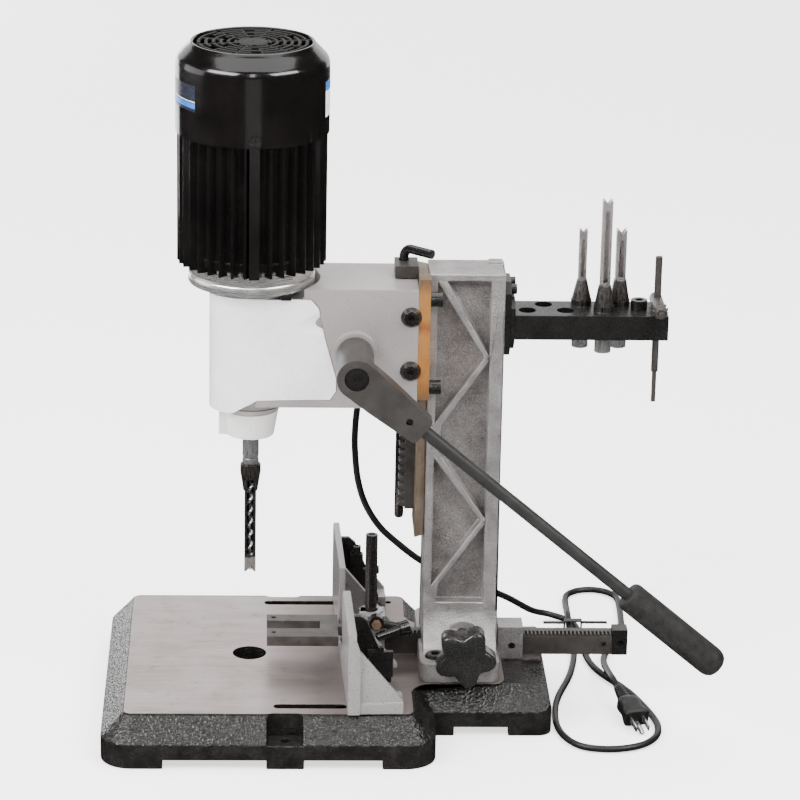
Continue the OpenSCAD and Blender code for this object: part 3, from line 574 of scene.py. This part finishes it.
def patch(bm, r, a0, a1, z0, z1, mat):
    """A thin label on a cylinder about the spindle axis, in mm and degrees."""
    lift, steps = 0.12, 18

    def at(k, z, rr):
        a = math.radians(a0 + (a1 - a0) * k / steps)
        return bm.verts.new(Vector((rr * cos(a), rr * sin(a), z)) * MM)

    rows = [[at(k, z, rr) for k in range(steps + 1)]
            for z, rr in ((z0, r), (z0, r + lift), (z1, r + lift), (z1, r))]
    for a, b in zip(rows, rows[1:] + rows[:1]):
        for k in range(steps):
            bm.faces.new([a[k], a[k + 1], b[k + 1], b[k]]).material_index = mat
    for k in (0, steps):
        bm.faces.new([row[k] for row in rows]).material_index = mat


def ring_bar(bm, r0, r1, z0, z1, a0=0.0, a1=360.0, mat=0):
    """Part of a flat ring about the spindle axis, in mm and degrees."""
    full = a1 - a0 >= 359.9
    n = max(3, int((a1 - a0) / 4))
    rows = []
    for k in range(n if full else n + 1):
        a = math.radians(a0 + (a1 - a0) * k / n)
        rows.append([bm.verts.new(Vector((r * cos(a), r * sin(a), z)) * MM)
                     for r, z in ((r0, z0), (r1, z0), (r1, z1 - 0.5), (r1 - 0.5, z1),
                                  (r0 + 0.5, z1), (r0, z1 - 0.5))])
    m = len(rows)
    for k in range(m if full else m - 1):
        a, b = rows[k], rows[(k + 1) % m]
        for i in range(6):
            j = (i + 1) % 6
            bm.faces.new([a[i], a[j], b[j], b[i]]).material_index = mat
    if not full:
        bm.faces.new(rows[0][::-1])
        bm.faces.new(rows[-1])


# ---------------------------------------------------------------- the power cord
# its route in mm, from the gland to the plug; after the first three points it is the CAD's
CORD = [(107, 64, 306), (105.5, 63, 288), (103.5, 62, 265), (103.5, 61, 241), (107, 61, 209),
        (115, 61, 183), (129, 61, 160), (147, 62, 142), (172, 66, 121), (205, 82, 98.5),
        (238, 112, 74), (266, 146, 49), (283, 172, 30), (292, 187, 19.5), (301, 196.5, 12.5),
        (313, 202, 8), (325, 200.2, 5), (334, 193.6, 4), (339.6, 183, 4), (342, 170, 4),
        (343.3, 150, 4), (344.4, 120, 4), (345.6, 97, 4), (349.5, 74, 4), (356.5, 54, 4),
        (365.5, 36, 4), (375, 18, 4), (384, -3, 4), (391.5, -27, 4), (398.5, -53, 4),
        (401.5, -76, 4), (398.5, -98, 4), (388, -116, 4), (371, -127.5, 4), (346, -132, 4),
        (321, -124, 4), (306, -98, 4), (301.8, -60, 4), (307.5, -12, 4), (324.5, 48, 4),
        (333, 99, 4), (334.3, 140, 4), (334, 162, 5.6), (333.6, 178, 8.9), (333.5, 194, 11.3),
        (334.3, 214, 8), (335.2, 234, 4.4), (336, 252, 4), (339.8, 266, 4), (350, 276.2, 4),
        (364, 280, 4), (378, 276.2, 4), (388.2, 266, 4), (392, 252, 4), (392, 230, 4),
        (391, 205, 4), (389, 178, 4), (383, 152, 4), (375, 128, 4.4), (367, 104, 6.2),
        (362, 80, 9.4),
        (360, 56, 13.4), (360.2, 32, 17.8), (361.3, 12, 21), (363.2, -3.72, 22.36), PLUG_AT]
cord_path = smooth_path(CORD)
bm = bmesh.new()
sweep(bm, cord_path, CORD_R, 12)
cord = finish_mesh("cord", bm, "rubber", smooth=60, replaces=("power_cord",))

# ---------------------------------------------------------------- pieces taken from the CAD
BASE_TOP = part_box("base_casting")[1].z
from_cad("base_casting", ["base", "top"], 0.0012,
         assign=lambda f: int(f.normal.z > 0.95 and f.calc_center_median().z > BASE_TOP - 0.0004))

# the pocket floors lie inside POCKET_Y and above POCKET_Z; they take a darker copy of the cast
# aluminium, painted shade in the pockets
POCKET_Y, POCKET_Z = 0.0235, 0.11
from_cad("column_casting", ["alu", "alu_pocket_shade"], 0.0013, segments=3, join=False,
         assign=lambda f: int(abs(f.normal.y) > 0.9 and abs(f.calc_center_median().y) < POCKET_Y
                              and f.calc_center_median().z > POCKET_Z))

# node, material, edge radius in metres
for node, mat, edge in [
    ("column_bolts", "oxide", 0.0004),
    ("dovetail_way", "way", 0.0005), ("way_screws", "oxide", 0.0003),
    ("feed_rack", "rack", 0.0004), ("stop_block", "rack", 0.0006),
    ("tool_rack_flange", "bracket", 0.0008), ("tool_rack_bar", "bracket", 0.0007),
    ("tool_rack_screws", "oxide", 0.0004), ("spare_chisel_a", "spare", 0),
    ("spare_chisel_b", "spare", 0), ("spare_chisel_c", "spare", 0), ("chuck_key", "dull", 0.0003),
    ("fence_guide", "guide", 0.0003), ("guide_screws", "oxide", 0.0003),
    ("fence_pinion", "dull", 0.0002), ("fence_casting", "fence", 0.0013),
    ("fence_bar", "rack", 0.0003),
    ("bar_end_block", "bracket", 0.0006), ("fence_brackets", "bracket", 0.0007),
    ("bracket_screws", "oxide", 0.0004), ("hold_fork", "fork", 0.0006),
    ("hold_post", "oxide", 0.0004), ("lock_screw", "rust", 0.0003),
    ("lock_handle", "oxide", 0.0004), ("head_casting", "head", 0.0010),
    ("brass_gib", "brass", 0.0005), ("gib_screws", "oxide", 0.0004),
    ("side_screws", "oxide", 0.0004), ("chuck_cover", "cover", 0.0008),
    ("motor_body", "gloss", 0.0004), ("cover_screws", "oxide", 0.0003),
    ("motor_bearings", "bright", 0.0003), ("chisel_holder", "holder", 0.0012),
    ("holder_screw", "oxide", 0.0003), ("mortising_chisel", "chisel", 0.0002),
    ("switch_box", "plastic", 0.0012), ("switch_paddle", "red", 0.0006),
    ("cord_gland", "plastic", 0.0003), ("feed_pinion", "dull", 0.0002),
    ("lever_hub", "phosphate", 0.0008), ("lever_arm", "phosphate", 0.0008),
    ("lever_screw", "oxide", 0.0004), ("lever_rod", "rod", 0.0005),
    ("motor_shaft", "bright", 0.0003), ("motor_rotor", "dull", 0.0004),
    ("motor_fan", "plastic", 0.0003),
    ("chuck_body", "bright", 0.0004), ("chuck_jaws", "bright", 0.0003),
    ("cord_tie", "plastic", 0.0003),
]:
    from_cad(node, mat, edge)


# ---------------------------------------------------------------- motor
def motor():
    """the fan cover with its grille and blank labels, and the bright end bell"""
    dark, blue, white, grille = 1, 2, 3, 4
    bm = bmesh.new()
    lathe(bm, [(70.8, 584), (72.4, 584), (COVER_R, 584.6), (COVER_R, 649.5), (72.8, 652),
               (72.2, 654.2),
               (71.2, 656.2), (69.8, 658), (63, 665), (61.4, 666.6), (60.2, 668), (59.4, 669.4),
               (58.4, 670.4), (57, 670.4), (56.2, 669.6), (56.2, 666), (58.5, 663.4), (68.2, 655),
               (70.2, 651), (70.6, 640), (70.6, 584.4), (70.8, 584)], segs=144)
    for k, r in enumerate((51.2, 44.2, 37.2, 30.2, 23.2, 16.2)):
        gap = 7 + 16 * (k % 2)
        for i in range(6):
            a = i * 60 + 30 * (k % 2) + 12
            ring_bar(bm, r - 1.5, r + 1.5, 666.8, 669.6, a, a + 60 - gap * 0.6, grille)
    for i in range(12):
        a = math.radians(i * 30 + 12)
        r0, r1 = (14, 56.6) if i % 2 == 0 else (28, 52)
        t = Matrix.Rotation(a, 4, "Z")
        block(bm, r0, r1, -1.3, 1.3, 666.4, 669.3, 0.9, turn=t, mat=grille)
    ring_bar(bm, 0.4, 14.5, 666.8, 669.6, mat=grille)
    for lift, a0, a1, z0, z1, mat in (
            (0, 168, 223, 613, 638, dark), (0.1, 168, 223, 616, 621, blue),
            (0.1, 168, 223, 622, 622.7, white), (0, -20, 34, 603, 637, white),
            (0.1, -20, 34, 628, 637, blue)):
        patch(bm, COVER_R + lift, a0, a1, z0, z1, mat)
    finish_mesh("fan_cover_detail", bm, ["gloss", "label_dark", "label_blue", "label", "grille"],
                node="fan_cover", smooth=40)

    bm = bmesh.new()
    lathe(bm, [(12.6, 430.2), (47.4, 430.2), (48, 430.8), (48, 436), (58.8, 436), (60.2, 436.6),
               (60.8, 438), (60.8, 444.4), (60.2, 445.3), (58.8, 445.6), (58.6, 446.8),
               (59.8, 447.1),
               (60.2, 447.8), (60.2, 461.6), (62.4, 462), (62.4, 470), (12.6, 470), (12.6, 430.2)],
          segs=128)
    lathe(bm, [(12.6, 428), (40.2, 428), (40.2, 430.4), (12.6, 430.4), (12.6, 428)], (4.5, 0, 0))
    block(bm, 28, 38, -50, -40, 430, 436.4, 0.5, mat=1)
    finish_mesh("end_bell_detail", bm, ["bright_alu", "oxide"], node="motor_end_bell", smooth=40)


motor()


# ---------------------------------------------------------------- knobs, rods and the grip
def star_knob():
    bm = bmesh.new()
    n = 120
    prof = [(0.90, -74.5), (0.965, -75.1), (1, -77), (1, -92), (0.985, -94.5), (0.94, -96.5),
            (0.86, -97.5), (0.55, -97.5), (0.25, -97.1)]
    rings = []
    for g, y in prof:
        ring = []
        for k in range(n):
            a = 2 * pi * k / n
            lobe = (0.5 + 0.5 * cos(5 * (a - math.radians(-10)))) ** 0.85
            r = (21.3 + 9.4 * lobe) * g
            p = Vector((PINION_X + r * cos(a), y, PINION_Z + r * sin(a)))
            ring.append(bm.verts.new(p * MM))
        rings.append(ring)
    for a, b in zip(rings, rings[1:]):
        for k in range(n):
            j = (k + 1) % n
            bm.faces.new([a[k], a[j], b[j], b[k]])
    bm.faces.new(rings[-1])
    bm.faces.new(rings[0])
    lathe(bm, [(0, -74.8), (12, -74.8), (12, -66.6), (11.4, -66), (0, -66)],
          (PINION_X, 0, PINION_Z), "Y", 48)
    finish_mesh("star_knob_detail", bm, "knob", node="star_knob", smooth=50)


def stop_rod():
    """the bent depth stop rod, its ends chamfered"""
    a = math.radians(-42)
    d = Vector((cos(a), sin(a), 0))
    p = [Vector((STOP_X, STOP_Y, z)) for z in (187.5, 190, 250, 320, 400, 452)]
    for t in range(1, 10):
        q = math.radians(t * 10)
        p.append(Vector((STOP_X, STOP_Y, 455)) + d * STOP_BEND_R * (1 - cos(q))
                 + Vector((0, 0, STOP_BEND_R * sin(q))))
    p += [Vector((STOP_X, STOP_Y, 464.4)) + d * t for t in (14, 20, 27, 34, 35.2, 35.5)]
    bm = bmesh.new()
    total = sum((v - u).length for u, v in zip(p, p[1:]))
    sweep(bm, p, lambda t: 4.55 - (1.0 if t < 0.1 or t > total - 0.1 else 0.0), 20)
    finish_mesh("stop_rod_detail", bm, "oxide", node="stop_rod", smooth=50)


def grip():
    """the foam grip, turned about the lever's line"""
    turn = Matrix.Translation((99, -119.5, 378)) @ Matrix.Rotation(math.radians(39.7), 4, "Y")
    prof = [(6.3, 341), (11.4, 341), (13.2, 341.8), (14.3, 343.6), (14.8, 346.5), (14.8, 446),
            (14.5, 450), (13.5, 453.4), (11.6, 456.4), (8.6, 458.4), (4.6, 459.3), (0, 459.5)]
    bm = bmesh.new()
    t = bmesh.new()
    lathe(t, prof, (0, 0, 0), "X", 64)
    bmesh.ops.scale(t, vec=(1000,) * 3, verts=t.verts)
    bmesh.ops.transform(t, matrix=turn, verts=t.verts)
    add_bm(bm, t)
    finish_mesh("grip_detail", bm, "foam", node="lever_grip", smooth=50)


def auger():
    """the auger bit: twisted flute, cutting tip and plain shank"""
    lo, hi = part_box("auger_bit")
    z0, z1 = lo.z * 1000, hi.z * 1000
    bm = bmesh.new()
    n, sides, turns = 260, 16, 7.5
    core, land = 1.5, 2.7
    top = z0 + 96  # end of the flutes
    rows = []
    for k in range(n + 1):
        z = z0 + 4 + (top - z0 - 4) * k / n
        a = 2 * pi * turns * k / n
        row = []
        for j in range(sides):
            b = 2 * pi * j / sides
            r = core + land * cos(b) ** 0.7 if cos(b) > 0 else core
            row.append(bm.verts.new(Vector((r * cos(a + b), r * sin(a + b), z)) * MM))
        rows.append(row)
    for u, v in zip(rows, rows[1:]):
        for j in range(sides):
            i = (j + 1) % sides
            bm.faces.new([u[j], u[i], v[i], v[j]])
    bm.faces.new(rows[0])
    bm.faces.new(rows[-1])
    lathe(bm, [(0, z0), (3.6, z0 + 2.4), (4.1, z0 + 3.4), (4.1, z0 + 5), (1.5, z0 + 7)], segs=24)
    lathe(bm, [(1.6, top - 1), (3.6, top + 1), (3.6, z1 - 0.4), (3.2, z1), (0, z1)], segs=32)
    finish_mesh("auger_detail", bm, "bright", node="auger_bit", smooth=50)


def plug():
    """the mains plug: ribbed strain relief, body, two blades and an earth pin"""
    turn = (Matrix.Translation(PLUG_AT) @ Matrix.Rotation(math.radians(PLUG_YAW), 4, "Z")
            @ Matrix.Rotation(math.radians(PLUG_TILT), 4, "Y"))
    bm = bmesh.new()
    relief = [(0, 0, 0, 4.4, 4.4, 2)]
    for k in range(6):
        x = 1.2 + k * 4.0
        r = 4.7 + 0.42 * k
        relief += [(x, 0, 0, r, r, 2), (x + 2.6, 0, 0, r + 0.25, r + 0.25, 2),
                   (x + 2.7, 0, 0, r - 0.7, r - 0.7, 2), (x + 3.9, 0, 0, r - 0.6, r - 0.6, 2)]
    relief += [(26, 0, 0.4, 7.4, 7.0, 2)]
    loft(bm, relief, turn, 32)
    loft(bm, [(25, 0, 1, 7.5, 6.5, 2.6), (27, 0, 1.2, 9.6, 7.6, 3), (30, 0, 1.5, 11.4, 8.3, 4),
              (36, 0, 1.5, 11.2, 8.2, 4), (42, 0, 1.5, 10.6, 7.8, 4), (48, 0, 1.5, 11.4, 8.2, 5),
              (53, 0, 1.5, 12.4, 8.5, 6), (57, 0, 1.5, 12.5, 8.5, 6), (58, 0, 1.5, 11.8, 7.9, 6)],
         turn, 40)
    for y in (-7.2, 5.6):
        block(bm, 57.9, 76, y, y + 1.6, -1.5, 4.5, 0.4, turn=turn, mat=1)
    loft(bm, [(57.9, 0, -3, 2.4, 2.4, 2), (74.6, 0, -3, 2.4, 2.4, 2), (76.6, 0, -3, 1.7, 1.7, 2),
              (77.8, 0, -3, 0.6, 0.6, 2)], turn, 20, mat=1)
    finish_mesh("plug_detail", bm, ["plastic", "bright"], node="plug", smooth=40)


star_knob()
stop_rod()
grip()
auger()
plug()


# ---------------------------------------------------------------- floor and light
def floor():
    """a pale flat floor, which shiny surfaces do not reflect"""
    bm = bmesh.new()
    bmesh.ops.create_grid(bm, x_segments=2, y_segments=2, size=12)
    me = bpy.data.meshes.new("floor")
    bm.to_mesh(me)
    bm.free()
    m = bpy.data.materials.new("floor")
    m.use_nodes = True
    p = m.node_tree.nodes["Principled BSDF"]
    p.inputs["Base Color"].default_value = (0.92, 0.92, 0.92, 1)
    p.inputs["Roughness"].default_value = 0.7
    p.inputs["Specular IOR Level"].default_value = 0.2
    p.inputs["Emission Color"].default_value = (1, 1, 1, 1)
    p.inputs["Emission Strength"].default_value = 1.5
    me.materials.append(m)
    o = bpy.data.objects.new("floor", me)
    bpy.context.scene.collection.objects.link(o)
    o.visible_glossy = False


def area(name, at, look, size, power, size_y=None):
    """A soft box; places and sizes in metres, power in watts."""
    d = bpy.data.lights.new(name, "AREA")
    d.energy = power
    d.size = size
    if size_y:
        d.shape = "RECTANGLE"
        d.size_y = size_y
    o = bpy.data.objects.new(name, d)
    bpy.context.scene.collection.objects.link(o)
    o.location = at
    o.rotation_euler = (Vector(look) - Vector(at)).to_track_quat("-Z", "Y").to_euler()
    o.visible_camera = False


floor()
world = bpy.data.worlds.new("studio")
bpy.context.scene.world = world
world.use_nodes = True
world.node_tree.nodes["Background"].inputs["Color"].default_value = (1, 1, 1, 1)
world.node_tree.nodes["Background"].inputs["Strength"].default_value = 0.9
world.cycles_visibility.diffuse = False
world.cycles_visibility.glossy = False
area("left", (-1.5, -1.3, 1.9), (0.05, 0, 0.25), 1.8, 104, size_y=0.8)
area("right", (1.7, -1.3, 1.9), (0.10, 0, 0.25), 1.8, 78, size_y=0.8)
area("top", (0.1, 0.3, 2.6), (0.1, 0, 0.2), 3.2, 100)
area("front", (0.0, -2.6, 1.9), (0.1, 0, 0.3), 0.3, 14, size_y=1.4)
area("card", (0.05, -2.0, 0.30), (0.02, 0, 0.5), 0.8, 0.8, size_y=0.55)
area("back", (0.1, 3.4, 1.0), (0.1, 0, 0.6), 5.5, 66, size_y=2.4)
area("back_left", (-1.4, 3.0, 0.15), (0, 0, 0.1), 1.7, 26, size_y=1.2)
area("side", (-3.0, 0.4, 0.9), (0, 0, 0.3), 2.4, 30, size_y=1.6)
sky = bpy.data.lights.new("sky", "SUN")
sky.energy = 3.4
sky.angle = math.radians(70)
sky_o = bpy.data.objects.new("sky", sky)
bpy.context.scene.collection.objects.link(sky_o)
sky_o.rotation_euler = (math.radians(-12), math.radians(8), 0)
sky_o.visible_glossy = False

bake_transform(cord)
